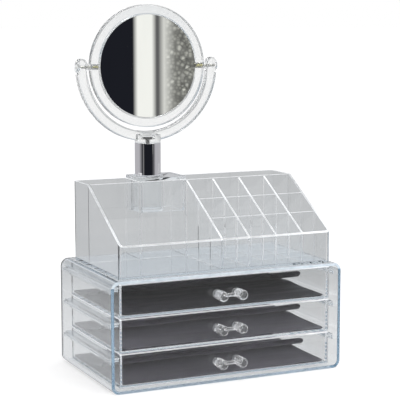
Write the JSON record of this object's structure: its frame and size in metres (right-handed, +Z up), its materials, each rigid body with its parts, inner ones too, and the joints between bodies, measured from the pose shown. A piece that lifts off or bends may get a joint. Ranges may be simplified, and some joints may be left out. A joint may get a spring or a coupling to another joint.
{
  "type": "make-up organizer with drawers and mirror",
  "caption": "Clear desktop make-up organizer: drawer chest with cup pulls, a sloped divided tray that stands on it, and a round two-sided swivel mirror on a chrome post.",
  "frame": {"origin": "centre of the chest's flat underside", "axes": "+Z up, -Y towards the front where the drawers pull out, +X to the user's right"},
  "size_m": [0.24, 0.1458, 0.354],
  "materials": {
    "clear_plastic": "clear, polished, faint blue-grey tint",
    "clear_trim": "clear, polished, nearly colourless",
    "mat_cloth": "short smooth nap",
    "chrome": "polished",
    "plug_plastic": "satin",
    "mirror_silver": "silvered glass",
    "steel": "bright nickel",
    "black_steel": "black oxide",
    "brass": "bright brass"
  },
  "bodies": {
    "chest": {"casing_sleeve": "clear_plastic", "casing_back": "clear_plastic", "guide_rail_bottom_left": "clear_plastic", "guide_rail_bottom_right": "clear_plastic", "guide_rail_middle_left": "clear_plastic", "guide_rail_middle_right": "clear_plastic", "guide_rail_top_left": "clear_plastic", "guide_rail_top_right": "clear_plastic"},
    "drawer_bottom": {"drawer_bottom": "clear_plastic", "handle_bottom": "clear_trim", "handle_clip_bottom_left": "clear_trim", "handle_clip_bottom_right": "clear_trim", "mat_bottom": "mat_cloth"},
    "drawer_middle": {"drawer_middle": "clear_plastic", "handle_middle": "clear_trim", "handle_clip_middle_left": "clear_trim", "handle_clip_middle_right": "clear_trim", "mat_middle": "mat_cloth"},
    "drawer_top": {"drawer_top": "clear_plastic", "handle_top": "clear_trim", "handle_clip_top_left": "clear_trim", "handle_clip_top_right": "clear_trim", "mat_top": "mat_cloth"},
    "tray": {"tray_shell": "clear_plastic", "tray_cross_wall": "clear_plastic", "cell_partition_1": "clear_plastic", "cell_partition_2": "clear_plastic", "cell_partition_3": "clear_plastic", "cell_partition_4": "clear_plastic", "cell_cross_partition_1": "clear_plastic", "cell_cross_partition_2": "clear_plastic", "bay_wall_left": "clear_plastic", "bay_wall_right": "clear_plastic"},
    "mirror_stand": {"socket_block": "clear_plastic", "mirror_post": "chrome", "post_foot_plug": "clear_trim", "post_top_plug": "plug_plastic", "yoke_stud": "black_steel"},
    "yoke": {"mirror_yoke": "clear_trim"},
    "mirror": {"mirror_frame": "clear_trim", "mirror_glass_front": "mirror_silver", "mirror_glass_back": "mirror_silver", "pivot_insert_left": "brass", "pivot_insert_right": "brass", "pivot_screw_left": "steel", "pivot_screw_right": "steel", "pivot_spacer_left": "clear_trim", "pivot_spacer_right": "clear_trim", "pivot_knob_left": "clear_trim", "pivot_knob_right": "clear_trim"}
  },
  "joints": [
    {"name": "drawer_bottom_slide", "type": "slide", "parent": "chest", "child": "drawer_bottom", "axis": [0, -1, 0], "range_m": [0, 0.105]},
    {"name": "drawer_middle_slide", "type": "slide", "parent": "chest", "child": "drawer_middle", "axis": [0, -1, 0], "range_m": [0, 0.105]},
    {"name": "drawer_top_slide", "type": "slide", "parent": "chest", "child": "drawer_top", "axis": [0, -1, 0], "range_m": [0, 0.105]},
    {"name": "tray_lift", "type": "slide", "parent": "chest", "child": "tray", "axis": [0, 0, 1], "range_m": [0, 0.06]},
    {"name": "stand_lift", "type": "slide", "parent": "tray", "child": "mirror_stand", "axis": [0, 0, 1], "range_m": [0, 0.034]},
    {"name": "mirror_swivel", "type": "hinge", "parent": "mirror_stand", "child": "yoke", "pos_m": [-0.0394, 0.0361, 0.2198], "axis": [0, 0, 1], "continuous": true},
    {"name": "mirror_tilt", "type": "hinge", "parent": "yoke", "child": "mirror", "pos_m": [-0.0394, 0.0361, 0.2945], "axis": [1, 0, 0], "continuous": true}
  ]
}
